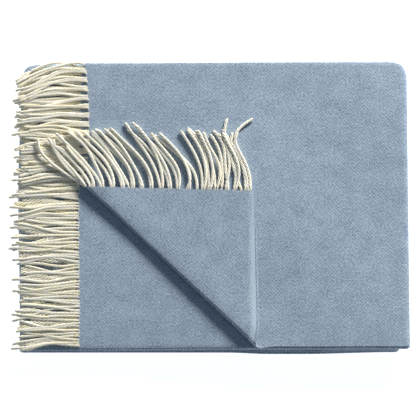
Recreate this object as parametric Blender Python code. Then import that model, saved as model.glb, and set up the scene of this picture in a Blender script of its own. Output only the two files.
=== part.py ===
# A folded wool throw: one woven cloth with a twisted fringe at both ends.
# It is folded in thirds across its width, then along its length, and its top corner is turned back.
# X runs along the cloth, Y across it and away from the viewer, Z up. Lengths are in metres.
# The origin is on the surface the throw lies on, in the middle of the folded throw.

import math
import random

import bmesh
import bpy
from mathutils import Vector

OBJECT_NAME = "folded_wool_throw"

# The cloth and the space between its layers
CLOTH = 0.0020
LAYER_GAP = 0.0006
PITCH = CLOTH + LAYER_GAP
LAYERS = 3
STACK = LAYERS * PITCH
FOLD_GAP = LAYER_GAP / 2

# The outline of the folded throw
RIGHT_FOLD = 0.292
LEFT_FOLD = -0.292
LOWER_RIGHT_FOLD = 0.276
SHORT_END = 0.160
FAR_FOLD = 0.2155
NEAR_EDGE = -0.218
NEAR_FOLD = -0.2205
FAR_EDGE = 0.212

# Where the upper half steps up onto the short end that is tucked inside
STEP_LEFT = -0.150
STEP_RIGHT = 0.068

# The turned-back corner: the two ends of its fold, the fold's radius there, how the corner rests, how
# much taller the fold's left end stands, and how far the cloth's near edge was drawn to the viewer
# before it was turned, at each X
TURN_LEFT = Vector((-0.1955, 0.0278))
TURN_RIGHT = Vector((0.0556, -0.2142))
ROLL_LEFT = 0.0030
ROLL_RIGHT = 0.0036
REST_GAP = 0.0010
REST = 2 * CLOTH + REST_GAP
SETTLE = 0.150
LIFT = 0.0015
LIFT_REACH = 0.070
RAISE = 0.0030
RAISE_RUN = 0.35
RAISE_REACH = 0.070
PULLS = (
    (-0.1782, 0.0158),
    (-0.100, 0.0140),
    (-0.050, 0.0131),
    (0.000, 0.0125),
    (0.030, 0.0115),
    (0.045, 0.0085),
    (0.060, 0.0040),
    (0.090, 0.0),
)

# Unevenness: rounded far corners, bowed folds, slanting sides and a gentle swell
CORNER_RADIUS = 0.026
CORNER_STRENGTH = 0.8
LEFT_BOW = 0.004
LEFT_BOW_CENTRE = 0.020
LEFT_BOW_REACH = 0.110
RIGHT_SLANT = 0.0020
NEAR_LEAN = 0.0035
NEAR_LEAN_RIGHT = 0.0022
SWELL_BROAD = 0.030
SWELL_DIAGONAL = 0.018
HEIGHT = 4 * STACK

# The fringe
STRIP = 0.0030
STRIP_GAP = 0.0004
STRAND_LENGTH = 0.100
STRAND_WIDTH = 0.0034
STRAND_TIP = 0.0020
SHORT_STRAND = 0.076
FAR_STRAND = 0.085
LOCK_WIDTH = 0.0060
LOCK_TIP = 0.0045
FAR_LOCK_WIDTH = 0.012
FAR_LOCK_TIP = 0.009
DROOP = 5.0
WAVE = 0.0024
FRINGE_SEED = 11

# The stretches of fringe that show at the left: name, layer, first and last root, strands, steps in
# a strand, its width at root and tip, its length, and how far the far strands sweep to the viewer
LEFT_FRINGES = (
    ("fringe_top", 2, 0.0355, 0.2080, 27, 3, STRAND_WIDTH, STRAND_TIP, STRAND_LENGTH, 0.018),
    ("fringe_middle", 1, -0.2150, 0.2080, 65, 3, STRAND_WIDTH, STRAND_TIP, STRAND_LENGTH, 0.016),
    ("fringe_bottom", 0, -0.2130, 0.2040, 33, 1, LOCK_WIDTH, LOCK_TIP, SHORT_STRAND, 0.0),
)
SWEEP_REACH = 0.060

# The turned corner's fringe: its roots on the cloth's edge, and how far its strands lean, in degrees
CORNER_FIRST_ROOT = -0.2300
CORNER_LAST_ROOT = 0.0165
CORNER_STRANDS = 38
LEAN_LEAST = 8
LEAN_MORE = 40

# The short end's fringe, hidden between the sections
FAR_FRINGES = (("fringe_far_top", 2), ("fringe_far_middle", 1), ("fringe_far_bottom", 0))
FAR_LOCKS = 17
FAR_MARGIN = 0.011

# Materials: base colour and roughness
WOOL_COLOUR = (0.27, 0.35, 0.44, 1.0)
FRINGE_COLOUR = (0.80, 0.74, 0.60, 1.0)
WOOL_ROUGHNESS = 0.95

# The run across the width: where each of the three layers starts and ends
FAR_CENTRE = FAR_FOLD - FOLD_GAP - CLOTH
NEAR_CENTRE = NEAR_FOLD + FOLD_GAP + CLOTH
CROSS_TURN = math.pi * PITCH / 2
TOP_END = FAR_CENTRE
MIDDLE_START = TOP_END + CROSS_TURN
MIDDLE_END = MIDDLE_START + FAR_CENTRE - NEAR_CENTRE
BOTTOM_START = MIDDLE_END + CROSS_TURN
BOTTOM_END = BOTTOM_START + FAR_EDGE - NEAR_CENTRE

# The top layer's fringed edge as it lies before its corner is turned: Y, then X
TOP_EDGE = (
    (NEAR_EDGE, -0.1782),
    (-0.160, -0.1822),
    (-0.095, -0.1867),
    (-0.030, -0.1912),
    (0.035, -0.1952),
    (0.100, -0.1881),
    (0.155, -0.1904),
    (0.192, -0.1932),
    (TOP_END, -0.1965),
)
WIDTH_LINES = tuple(y for y, x in TOP_EDGE[1:-1])
LOWER_EDGE = (
    (MIDDLE_START, -0.1975),
    (MIDDLE_START + FAR_CENTRE - WIDTH_LINES[-1], -0.2022),
    (MIDDLE_END, -0.2035),
    (BOTTOM_START, -0.2040),
    (BOTTOM_END, -0.2090),
)

# The lengthwise run: where each of the four sections and three folds starts
SECTION_THICKNESS = STACK - LAYER_GAP
RIGHT_CENTRE = RIGHT_FOLD - FOLD_GAP - SECTION_THICKNESS
LEFT_CENTRE = LEFT_FOLD + FOLD_GAP + SECTION_THICKNESS
LOWER_CENTRE = LOWER_RIGHT_FOLD - FOLD_GAP - SECTION_THICKNESS
LONG_TURN = math.pi * STACK / 2
FIRST_END = RIGHT_CENTRE
SECOND_START = FIRST_END + LONG_TURN
SECOND_END = SECOND_START + RIGHT_CENTRE - LEFT_CENTRE
THIRD_START = SECOND_END + LONG_TURN
THIRD_END = THIRD_START + LOWER_CENTRE - LEFT_CENTRE
FOURTH_START = THIRD_END + LONG_TURN
FOURTH_END = FOURTH_START + LOWER_CENTRE - SHORT_END

# Where the mesh has its lines along the length, and the steps round a fold
LENGTH_LINES = (-0.245, -0.160, -0.100, -0.040, -0.013, 0.014, 0.041, 0.068, 0.130, 0.190, 0.245)
CROSS_STEPS = 4
LONG_STEPS = 6
ROLL_STEPS = 6


def smooth(value):
    """A soft step from 0 to 1."""
    value = min(1.0, max(0.0, value))
    return value * value * (3 - 2 * value)


def read_table(table, place):
    """The second column of a two-column table at a place in its first column."""
    for (start, first), (end, second) in zip(table, table[1:]):
        if place <= end:
            share = max(0.0, (place - start) / (end - start))
            return first + (second - first) * share
    return table[-1][1]


def pulled(x, y):
    """The corner that is turned back was first drawn a little towards the viewer."""
    return y - read_table(PULLS, x) * (TOP_END - y) / (TOP_END - NEAR_EDGE)


def edge_at(width):
    """Where the fringed edge is along the length, at a place across the cloth."""
    return read_table(FRINGED_EDGE, width)


FRINGED_EDGE = tuple((pulled(LEFT_FOLD, y), x) for y, x in TOP_EDGE) + LOWER_EDGE


def across(width, face):
    """The fold in thirds: from a place across the cloth to Y and the height within one section."""
    if width <= TOP_END:
        return width, 2 * PITCH + face
    if width < MIDDLE_START:
        angle = math.pi * (width - TOP_END) / CROSS_TURN
        radius = FOLD_GAP + face
        return FAR_CENTRE + radius * math.sin(angle), PITCH + CLOTH + FOLD_GAP + radius * math.cos(angle)
    if width <= MIDDLE_END:
        return FAR_CENTRE - (width - MIDDLE_START), PITCH + CLOTH - face
    if width < BOTTOM_START:
        angle = math.pi * (width - MIDDLE_END) / CROSS_TURN
        radius = FOLD_GAP + CLOTH - face
        return NEAR_CENTRE - radius * math.sin(angle), CLOTH + FOLD_GAP + radius * math.cos(angle)
    return NEAR_CENTRE + width - BOTTOM_START, face


def step_up(x):
    """How far the upper half has risen onto the tucked-in short end."""
    return STACK * smooth((x - STEP_LEFT) / (STEP_RIGHT - STEP_LEFT))


def along(length, height):
    """The folds along the length: from a place along the cloth to X and Z."""
    if length <= FIRST_END:
        return length, 2 * STACK + step_up(length) + height
    if length < SECOND_START:
        angle = math.pi * (length - FIRST_END) / LONG_TURN
        radius = FOLD_GAP + height
        return RIGHT_CENTRE + radius * math.sin(angle), 3 * STACK - FOLD_GAP + radius * math.cos(angle)
    if length <= SECOND_END:
        x = RIGHT_CENTRE - (length - SECOND_START)
        return x, 2 * STACK - LAYER_GAP + step_up(x) - height
    radius = STACK - FOLD_GAP - height
    if length < THIRD_START:
        angle = math.pi * (length - SECOND_END) / LONG_TURN
        return LEFT_CENTRE - radius * math.sin(angle), STACK - FOLD_GAP + radius * math.cos(angle)
    if length <= THIRD_END:
        return LEFT_CENTRE + length - THIRD_START, height
    if length < FOURTH_START:
        angle = math.pi * (length - THIRD_END) / LONG_TURN
        return LOWER_CENTRE + radius * math.sin(angle), STACK - FOLD_GAP - radius * math.cos(angle)
    return LOWER_CENTRE - (length - FOURTH_START), 2 * STACK - LAYER_GAP - height


def fold_frame(x, y):
    """A plan point beside the corner's fold: along it, out from it, and the fold's radius there."""
    run = TURN_RIGHT - TURN_LEFT
    ahead = run.normalized()
    out = Vector((ahead.y, -ahead.x))
    point = Vector((x, y)) - TURN_LEFT
    place = point.dot(ahead)
    share = place / run.length
    return place, point.dot(out), ROLL_LEFT + (ROLL_RIGHT - ROLL_LEFT) * share, share, ahead, out


def turn_corner(x, y, face):
    """Turns the top layer back over its diagonal fold: to X, Y and the height over its underside."""
    place, out_by, radius, share, ahead, out = fold_frame(x, y)
    past = out_by + radius
    height = face
    if past > 0:
        angle = min(past / radius, math.pi)
        beyond = max(0.0, past - math.pi * radius)
        out_by = -radius + (radius - face) * math.sin(angle) - beyond
        sink = (2 * radius - REST) * smooth(beyond / SETTLE)
        height = radius - (radius - face) * math.cos(angle) - sink + left_raise(share, angle, beyond)
    plan = TURN_LEFT + ahead * place + out * out_by
    return plan.x, plan.y, height + lift(out_by, share)


def left_raise(share, angle, beyond):
    """The fold stands taller at its left end, and the turned corner slopes down from it."""
    fading = (1 - smooth(share / RAISE_RUN)) * (1 - smooth(beyond / RAISE_REACH))
    return RAISE * fading * (1 - math.cos(angle)) / 2


def lift(out_by, share):
    """The top layer stands off the one under it beside the fold, most at the fold's right end."""
    nearness = max(0.0, 1 - abs(out_by) / LIFT_REACH)
    return LIFT * smooth(share) * nearness * nearness


def round_corner(x, y, side):
    """Rounds one far corner, the right one with side 1 and the left one with side -1."""
    reach_x = (side * x - (RIGHT_FOLD - CORNER_RADIUS)) / CORNER_RADIUS
    reach_y = (y - (FAR_FOLD - CORNER_RADIUS)) / CORNER_RADIUS
    if reach_x <= 0 or reach_y <= 0:
        return x, y
    pull_x = math.sqrt(1 - CORNER_STRENGTH * min(1.0, reach_y) ** 2 / 2)
    pull_y = math.sqrt(1 - CORNER_STRENGTH * min(1.0, reach_x) ** 2 / 2)
    x_in = RIGHT_FOLD - CORNER_RADIUS + CORNER_RADIUS * reach_x * pull_x
    y_in = FAR_FOLD - CORNER_RADIUS + CORNER_RADIUS * reach_y * pull_y
    return side * x_in, y_in


def settle(x, y, z):
    """The unevenness of the whole stack, the same for all layers, so none meets another."""
    x, y = round_corner(x, y, 1)
    x, y = round_corner(x, y, -1)
    left_share = smooth((-0.10 - x) / 0.18)
    right_share = smooth((x - 0.10) / 0.18)
    near_share = smooth((0.05 - y) / 0.20)
    broad = math.sin(15.5 * x + 1.0) * math.cos(16.0 * y + 0.4)
    diagonal = math.sin(19.0 * (x + y))
    x_out = x - LEFT_BOW * left_share * math.exp(-(((y - LEFT_BOW_CENTRE) / LEFT_BOW_REACH) ** 2))
    x_out -= RIGHT_SLANT * right_share * (y - NEAR_EDGE) / (FAR_FOLD - NEAR_EDGE)
    lean = NEAR_LEAN + NEAR_LEAN_RIGHT * smooth((x - 0.02) / 0.06)
    y_out = y - lean * near_share * (1 - z / HEIGHT)
    return Vector((x_out, y_out, z * (1 + SWELL_BROAD * broad + SWELL_DIAGONAL * diagonal)))


def place_on_throw(length, width, face):
    """From a place on the flat cloth to where the folded cloth has it."""
    y, height = across(width, face)
    if length < FIRST_END and width < TOP_END:
        x, y, top_height = turn_corner(length, y, face)
        height = 2 * PITCH + top_height
        length = x
    x, z = along(length, height)
    return settle(x, y, z)


def steps_between(start, end, count):
    """Even steps from one end to the other, without the ends."""
    return [start + (end - start) * step / count for step in range(1, count)]


def width_stations():
    """The mesh lines across the cloth, at the same Y in all three layers."""
    top = [NEAR_EDGE] + list(WIDTH_LINES) + [TOP_END]
    far_turn = steps_between(TOP_END, MIDDLE_START, CROSS_STEPS)
    middle = [MIDDLE_START] + [MIDDLE_START + FAR_CENTRE - y for y in reversed(WIDTH_LINES)] + [MIDDLE_END]
    near_turn = steps_between(MIDDLE_END, BOTTOM_START, CROSS_STEPS)
    bottom = [BOTTOM_START] + [BOTTOM_START + y - NEAR_CENTRE for y in WIDTH_LINES] + [BOTTOM_END]
    return top + far_turn + middle + near_turn + bottom


def length_stations():
    """The mesh lines along the cloth, at the same X in all sections."""
    first = [LEFT_FOLD] + [x for x in LENGTH_LINES if x > -0.17] + [FIRST_END]
    right_turn = steps_between(FIRST_END, SECOND_START, LONG_STEPS)
    second = [SECOND_START] + [SECOND_START + RIGHT_CENTRE - x for x in reversed(LENGTH_LINES)] + [SECOND_END]
    left_turn = steps_between(SECOND_END, THIRD_START, LONG_STEPS)
    third = [THIRD_START] + [THIRD_START + x - LEFT_CENTRE for x in LENGTH_LINES] + [THIRD_END]
    lower_turn = steps_between(THIRD_END, FOURTH_START, LONG_STEPS)
    fourth_lines = [x for x in reversed(LENGTH_LINES) if SHORT_END < x < LOWER_CENTRE]
    fourth = [FOURTH_START] + [FOURTH_START + LOWER_CENTRE - x for x in fourth_lines] + [FOURTH_END]
    return first + right_turn + second + left_turn + third + lower_turn + fourth


def cut_corner_fold(flat):
    """Gives the flat cloth the lines along which its corner bends."""
    run = TURN_RIGHT - TURN_LEFT
    ahead = run.normalized()
    out = Vector((ahead.y, -ahead.x))
    bends = [math.pi * step / ROLL_STEPS for step in range(ROLL_STEPS + 1)]
    offsets = [(ROLL_LEFT * (bend - 1), ROLL_RIGHT * (bend - 1)) for bend in bends]
    slope_lines = [RAISE_REACH * share for share in (0.35, 1.0)]
    offsets += [(ROLL_LEFT * 2 + line, ROLL_RIGHT * 2 + line) for line in slope_lines]
    offsets += [(-ROLL_LEFT - 0.020, -ROLL_RIGHT - 0.020)]
    for at_left, at_right in offsets:
        start = TURN_LEFT + out * at_left
        end = TURN_RIGHT + out * at_right
        line = end - start
        normal = Vector((line.y, -line.x, 0)).normalized()
        near_faces = [face for face in flat.faces if in_top_section(face)]
        near_parts = set(near_faces)
        for face in near_faces:
            near_parts.update(face.edges)
            near_parts.update(face.verts)
        bmesh.ops.bisect_plane(
            flat, geom=list(near_parts), dist=0.00002, plane_co=(start.x, start.y, 0), plane_no=normal
        )


def in_top_section(face):
    """Whether a face of the flat cloth is in the top layer of the top section."""
    centre = face.calc_center_median()
    return centre.x < FIRST_END and centre.y < TOP_END


def add_object(name, mesh_data, colour, collection):
    """Puts a finished mesh in the throw's collection with its own wool material."""
    mesh = bpy.data.meshes.new(name)
    mesh_data.to_mesh(mesh)
    mesh_data.free()
    material = bpy.data.materials.new(name + "_wool")
    material.use_nodes = True
    shader = material.node_tree.nodes["Principled BSDF"]
    shader.inputs["Base Color"].default_value = colour
    shader.inputs["Roughness"].default_value = WOOL_ROUGHNESS
    shader.inputs["Metallic"].default_value = 0.0
    mesh.materials.append(material)
    piece = bpy.data.objects.new(name, mesh)
    collection.objects.link(piece)
    mesh.shade_smooth()
    mesh.set_sharp_from_angle(angle=math.radians(50))
    return piece


def build_cloth(collection):
    """The woven cloth: a flat grid, cut for its corner's fold, given thickness and folded."""
    lengths = length_stations()
    widths = width_stations()
    flat = bmesh.new()
    bmesh.ops.create_grid(flat, x_segments=len(lengths) - 1, y_segments=len(widths) - 1, size=0.5)
    for vertex in flat.verts:
        column = round((vertex.co.x + 0.5) * (len(lengths) - 1))
        row = round((vertex.co.y + 0.5) * (len(widths) - 1))
        length = lengths[column]
        width = widths[row]
        if length <= FIRST_END and width < TOP_END:
            width = pulled(length, width)
        if column == 0:
            length = edge_at(width)
        vertex.co = (length, width, 0)
    cut_corner_fold(flat)
    bmesh.ops.triangulate(flat, faces=flat.faces[:], quad_method="FIXED")
    extruded = bmesh.ops.extrude_face_region(flat, geom=flat.faces[:], use_keep_orig=True)
    upper = [part for part in extruded["geom"] if isinstance(part, bmesh.types.BMVert)]
    bmesh.ops.translate(flat, verts=upper, vec=(0, 0, CLOTH))
    bmesh.ops.recalc_face_normals(flat, faces=flat.faces[:])
    for vertex in flat.verts:
        vertex.co = place_on_throw(*vertex.co)
    bmesh.ops.triangulate(flat, faces=flat.faces[:])
    return add_object("throw_cloth", flat, WOOL_COLOUR, collection)


def level_of(layer):
    """The height of a layer's underside within its section: 2 is the top layer, 0 the bottom one."""
    return layer * PITCH


def drape_left(x, y, base, height):
    """A strand of the visible end: on the stack, drooping a little where it passes the left fold."""
    past = max(0.0, LEFT_CENTRE - x)
    return settle(x, y, base + height - DROOP * past * past)


def build_fringe(name, collection, roots, lay, widths, steps, length):
    """One stretch of fringe: a strip with a strand drawn out of it at each root.

    roots are places along the edge; lay turns (strand number, distance out, place along, height)
    into a point; widths are the strand's width at its root and tip; steps cut it lengthwise."""
    half = widths[0] / 2
    start = roots[0] - half
    end = roots[-1] + half
    fringe = bmesh.new()
    bmesh.ops.create_cube(fringe, size=1)
    for vertex in fringe.verts:
        vertex.co.x = STRIP_GAP if vertex.co.x < 0 else STRIP_GAP + STRIP
        vertex.co.y = start if vertex.co.y < 0 else end
        vertex.co.z = 0 if vertex.co.z < 0 else CLOTH
    cuts = [root + side * half for root in roots for side in (-1, 1)][1:-1]
    for cut in cuts:
        parts = fringe.verts[:] + fringe.edges[:] + fringe.faces[:]
        bmesh.ops.bisect_plane(fringe, geom=parts, dist=0.00001, plane_co=(0, cut, 0), plane_no=(0, 1, 0))
    front = [face for face in fringe.faces if face.normal.x > 0.9]
    tips = [face for face in front if min(abs(face.calc_center_median().y - root) for root in roots) < half / 2]
    for step in range(steps):
        tips = bmesh.ops.extrude_discrete_faces(fringe, faces=tips)["faces"]
        for face in tips:
            bmesh.ops.translate(fringe, verts=face.verts[:], vec=((length - STRIP) / steps, 0, 0))
    bmesh.ops.triangulate(fringe, faces=fringe.faces[:], quad_method="FIXED")
    for vertex in fringe.verts:
        out = vertex.co.x
        number = min(range(len(roots)), key=lambda index: abs(roots[index] - vertex.co.y))
        share = max(0.0, (out - STRIP_GAP - STRIP) / (length - STRIP))
        place = vertex.co.y
        height = vertex.co.z
        if share > 0:
            narrow = 1 + (widths[1] / widths[0] - 1) * share
            place = roots[number] + (vertex.co.y - roots[number]) * narrow
            height = CLOTH * 0.5 + (height - CLOTH * 0.5) * (0.85 - 0.25 * share)
        vertex.co = lay(number, out, place, height, share)
    if fringe.calc_volume(signed=True) < 0:
        bmesh.ops.reverse_faces(fringe, faces=fringe.faces[:])
    return add_object(name, fringe, FRINGE_COLOUR, collection)


def even_roots(start, end, count):
    """Roots at an even pitch from start to end."""
    return [start + (end - start) * index / (count - 1) for index in range(count)]


def left_fringe(collection, name, layer, start, end, count, steps, width, tip, length, sweep):
    """The fringe of one layer of the visible end, lying to the left over the left fold."""
    luck = random.Random(FRINGE_SEED + layer)
    roots = even_roots(start, end, count)
    stretch = [luck.uniform(-0.04, 0.04) for root in roots]
    stray = [luck.uniform(-0.0007, 0.0007) for root in roots]

    def lay(number, out, place, height, share):
        reach = STRIP_GAP + STRIP + (out - STRIP_GAP - STRIP) * (1 + stretch[number]) if share > 0 else out
        width_station = place
        if layer == 1:
            width_station = MIDDLE_START + FAR_CENTRE - place
        if layer == 0:
            width_station = BOTTOM_START + place - NEAR_CENTRE
        x = edge_at(width_station) - reach
        wave = WAVE * math.sin(52 * x + 9 * roots[number]) * smooth(share * 2) + stray[number] * share
        bend = -sweep * share * share * math.exp((roots[number] - end) / SWEEP_REACH)
        return drape_left(x, place + wave + bend, 2 * STACK + level_of(layer), height)

    return build_fringe(name, collection, roots, lay, (width, tip), steps, length)


def corner_fringe(collection):
    """The fringe of the turned-back corner, lying on the top layer and leaning left."""
    luck = random.Random(FRINGE_SEED + 5)
    roots = even_roots(CORNER_FIRST_ROOT, CORNER_LAST_ROOT, CORNER_STRANDS)
    stretch = [luck.uniform(-0.05, 0.05) for root in roots]
    edge_start = Vector(turn_corner(edge_at(roots[0]), roots[0], 0)[:2])
    edge_end = Vector(turn_corner(edge_at(roots[-1]), roots[-1], 0)[:2])
    edge = (edge_end - edge_start).normalized()
    out_way = Vector((edge.y, -edge.x))

    def lay(number, out, place, height, share):
        x_edge = edge_at(place if share == 0 else roots[number])
        side = 0.0 if share == 0 else place - roots[number]
        x, y, top = turn_corner(x_edge, place - side, CLOTH - height)
        left_share = number / (len(roots) - 1)
        lean = math.radians(LEAN_LEAST + LEAN_MORE * left_share ** 1.6)
        turned = lean * smooth(share * 3)
        bent = turned * 0.9
        reach = max(0.0, out - STRIP_GAP - STRIP) * (1 + stretch[number])
        way = out_way * math.cos(bent) + edge * math.sin(bent)
        across_way = edge * math.cos(turned) - out_way * math.sin(turned)
        wave = WAVE * math.sin(46 * out + 0.5 * number) * smooth(share * 2)
        plan = Vector((x, y)) + out_way * min(out, STRIP_GAP + STRIP) + way * reach
        plan += across_way * (side + wave)
        drop = (top - CLOTH - REST_GAP - height) * smooth(share * 3)
        base = 2 * STACK + step_up(plan.x) + level_of(2)
        return drape_left(plan.x, plan.y, base, top - drop)

    widths = (STRAND_WIDTH, STRAND_TIP)
    return build_fringe("fringe_corner", collection, roots, lay, widths, 3, STRAND_LENGTH)


def hidden_fringe(collection, name, layer):
    """The fringe of one layer of the short end, in locks, flat between the sections."""
    roots = even_roots(NEAR_EDGE + FAR_MARGIN, FAR_EDGE - FAR_MARGIN, FAR_LOCKS)

    def lay(number, out, place, height, share):
        z = 2 * STACK - LAYER_GAP - level_of(layer) - height
        return settle(SHORT_END - out, place, z)

    return build_fringe(name, collection, roots, lay, (FAR_LOCK_WIDTH, FAR_LOCK_TIP), 1, FAR_STRAND)


def clear_scene():
    """Removes what the new scene holds."""
    for item in list(bpy.data.objects):
        bpy.data.objects.remove(item, do_unlink=True)


def build_throw():
    """The throw: its cloth and each stretch of its fringe."""
    collection = bpy.data.collections.new(OBJECT_NAME)
    bpy.context.scene.collection.children.link(collection)
    build_cloth(collection)
    for row in LEFT_FRINGES:
        left_fringe(collection, *row)
    corner_fringe(collection)
    for name, layer in FAR_FRINGES:
        hidden_fringe(collection, name, layer)


clear_scene()
build_throw()
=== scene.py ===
import math
import random

import bmesh
import bpy
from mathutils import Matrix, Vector


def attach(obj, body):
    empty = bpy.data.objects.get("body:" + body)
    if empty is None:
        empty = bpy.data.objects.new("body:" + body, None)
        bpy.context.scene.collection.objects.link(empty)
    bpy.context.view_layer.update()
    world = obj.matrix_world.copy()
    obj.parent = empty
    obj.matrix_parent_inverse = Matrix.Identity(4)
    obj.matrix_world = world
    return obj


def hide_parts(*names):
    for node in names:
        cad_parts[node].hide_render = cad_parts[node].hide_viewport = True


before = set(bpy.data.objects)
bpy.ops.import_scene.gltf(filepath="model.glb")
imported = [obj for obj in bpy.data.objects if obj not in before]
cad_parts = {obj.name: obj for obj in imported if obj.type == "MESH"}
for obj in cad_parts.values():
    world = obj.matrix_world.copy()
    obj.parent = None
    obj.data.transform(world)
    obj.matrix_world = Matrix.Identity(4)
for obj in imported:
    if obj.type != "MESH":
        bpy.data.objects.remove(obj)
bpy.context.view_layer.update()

# The woven cloth of the throw: one length of 2/2 wool twill, cream warp and blue-grey weft, felted
# a little and brushed, with both long edges woven as selvages and no hem. It is folded in thirds
# across its width, then along its length, and the top layer's corner is turned back by hand.
# Lengths are in metres, in the frame's own axes, and the folds are those of the solid it replaces.
CLOTH = 0.0020
LAYER_GAP = 0.0006
PITCH = CLOTH + LAYER_GAP
STACK = 3 * PITCH
FOLD_GAP = LAYER_GAP / 2
HEIGHT = 4 * STACK

# Where the folds and the edges lie, and where the upper half rises onto the tucked-in short end
RIGHT_FOLD = 0.292
LEFT_FOLD = -0.292
LOWER_RIGHT_FOLD = 0.276
SHORT_END = 0.160
FAR_FOLD = 0.2155
NEAR_EDGE = -0.218
NEAR_FOLD = -0.2205
FAR_EDGE = 0.212
STEP_LEFT = -0.150
STEP_RIGHT = 0.068

# The turned corner: its diagonal fold and the fold's radius at each end, how the flap settles onto
# the layer under it, and how its fold stands taller at the left and rounds over
TURN_LEFT = Vector((-0.1955, 0.0278))
TURN_RIGHT = Vector((0.0556, -0.2142))
TURN_RUN = TURN_RIGHT - TURN_LEFT
TURN_AHEAD = TURN_RUN.normalized()
TURN_OUT = Vector((TURN_AHEAD.y, -TURN_AHEAD.x))
ROLL_LEFT = 0.0030
ROLL_RIGHT = 0.0036
REST = 2 * CLOTH + 0.0010
SETTLE = 0.150
LIFT = 0.0015
LIFT_REACH = 0.070
RAISE = 0.0030
RAISE_RUN = 0.35
RAISE_REACH = 0.070
BULGE = 0.0018
BULGE_REACH = 0.020

# How far the top layer's near edge is pulled toward the viewer: X, and the pull there
PULLS = (
    (-0.1782, 0.0158),
    (-0.100, 0.0140),
    (-0.050, 0.0131),
    (0.000, 0.0125),
    (0.030, 0.0115),
    (0.045, 0.0085),
    (0.060, 0.0040),
    (0.090, 0.0),
)

# The whole stack's rounded far corners, bowed left end, leaning near edge, and the share by which
# broad swells (about 40 cm from crest to crest) and diagonal ones (about 23 cm) raise its height
CORNER_RADIUS = 0.026
CORNER_STRENGTH = 0.8
LEFT_BOW = 0.004
LEFT_BOW_CENTRE = 0.020
LEFT_BOW_REACH = 0.110
RIGHT_SLANT = 0.0020
NEAR_LEAN = 0.0035
NEAR_LEAN_RIGHT = 0.0022
NEAR_LEAN_END = 0.0030
SWELL_BROAD = 0.030
SWELL_DIAGONAL = 0.018

# The main creases, each placed as a soft ridge or trough: the X and Y of its start and end,
# its rise or, below nought, its depth, and its half-width
CREASES = (
    (-0.170, -0.214, 0.270, -0.216, 0.00140, 0.065),
    (-0.178, 0.126, 0.047, 0.122, -0.00026, 0.008),
    (0.071, 0.056, 0.262, 0.064, 0.00024, 0.009),
    (0.092, -0.010, 0.146, -0.031, -0.00030, 0.009),
    (0.100, -0.112, 0.196, -0.127, -0.00030, 0.012),
    (-0.097, -0.040, 0.030, -0.062, 0.00022, 0.010),
    (0.0530, -0.202, 0.0640, -0.214, -0.00050, 0.006),
    (-0.165, -0.142, -0.080, -0.176, -0.00024, 0.011),
    (-0.060, 0.180, 0.140, 0.172, -0.00022, 0.011),
    (0.170, 0.140, 0.270, 0.118, -0.00022, 0.010),
)

# The run across the width: where each of the three layers starts and ends
FAR_CENTRE = FAR_FOLD - FOLD_GAP - CLOTH
NEAR_CENTRE = NEAR_FOLD + FOLD_GAP + CLOTH
CROSS_TURN = math.pi * PITCH / 2
TOP_END = FAR_CENTRE
MIDDLE_START = TOP_END + CROSS_TURN
MIDDLE_END = MIDDLE_START + FAR_CENTRE - NEAR_CENTRE
BOTTOM_START = MIDDLE_END + CROSS_TURN
BOTTOM_END = BOTTOM_START + FAR_EDGE - NEAR_CENTRE

# The run along the length: where each of the four sections starts and ends
RIGHT_CENTRE = RIGHT_FOLD - FOLD_GAP - (STACK - LAYER_GAP)
LEFT_CENTRE = LEFT_FOLD + FOLD_GAP + (STACK - LAYER_GAP)
LOWER_CENTRE = LOWER_RIGHT_FOLD - FOLD_GAP - (STACK - LAYER_GAP)
LONG_TURN = math.pi * STACK / 2
FIRST_END = RIGHT_CENTRE
SECOND_START = FIRST_END + LONG_TURN
SECOND_END = SECOND_START + RIGHT_CENTRE - LEFT_CENTRE
THIRD_START = SECOND_END + LONG_TURN
THIRD_END = THIRD_START + LOWER_CENTRE - LEFT_CENTRE
FOURTH_START = THIRD_END + LONG_TURN
FOURTH_END = FOURTH_START + LOWER_CENTRE - SHORT_END

# The top layer's fringed edge before its corner is turned: Y, then X; and the lower layers' edges
TOP_EDGE = (
    (NEAR_EDGE, -0.1782),
    (-0.160, -0.1822),
    (-0.095, -0.1867),
    (-0.030, -0.1912),
    (0.035, -0.1952),
    (0.100, -0.1881),
    (0.155, -0.1904),
    (0.192, -0.1932),
    (TOP_END, -0.1965),
)
LOWER_EDGE = (
    (MIDDLE_START, -0.1975),
    (MIDDLE_START + FAR_CENTRE - TOP_EDGE[-2][0], -0.2022),
    (MIDDLE_END, -0.2035),
    (BOTTOM_START, -0.2040),
    (BOTTOM_END, -0.2090),
)


def smooth(value):
    """A soft step: 0 below nought, 1 above one, and an easy curve between."""
    value = min(1.0, max(0.0, value))
    return value * value * (3 - 2 * value)


def read_table(table, place):
    """The value of a table of places and values at a place, on straight lines between its rows."""
    for (start, first), (end, second) in zip(table, table[1:]):
        if place <= end:
            return first + (second - first) * max(0.0, (place - start) / (end - start))
    return table[-1][1]


def pulled(x, y):
    """Where a line across the top layer goes when its near edge is pulled toward the viewer."""
    return y - read_table(PULLS, x) * (TOP_END - y) / (TOP_END - NEAR_EDGE)


FRINGED_EDGE = tuple((pulled(LEFT_FOLD, y), x) for y, x in TOP_EDGE) + LOWER_EDGE


def edge_at(width):
    """Where the cloth's fringed edge lies along its length, at a place across it."""
    return read_table(FRINGED_EDGE, width)


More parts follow.
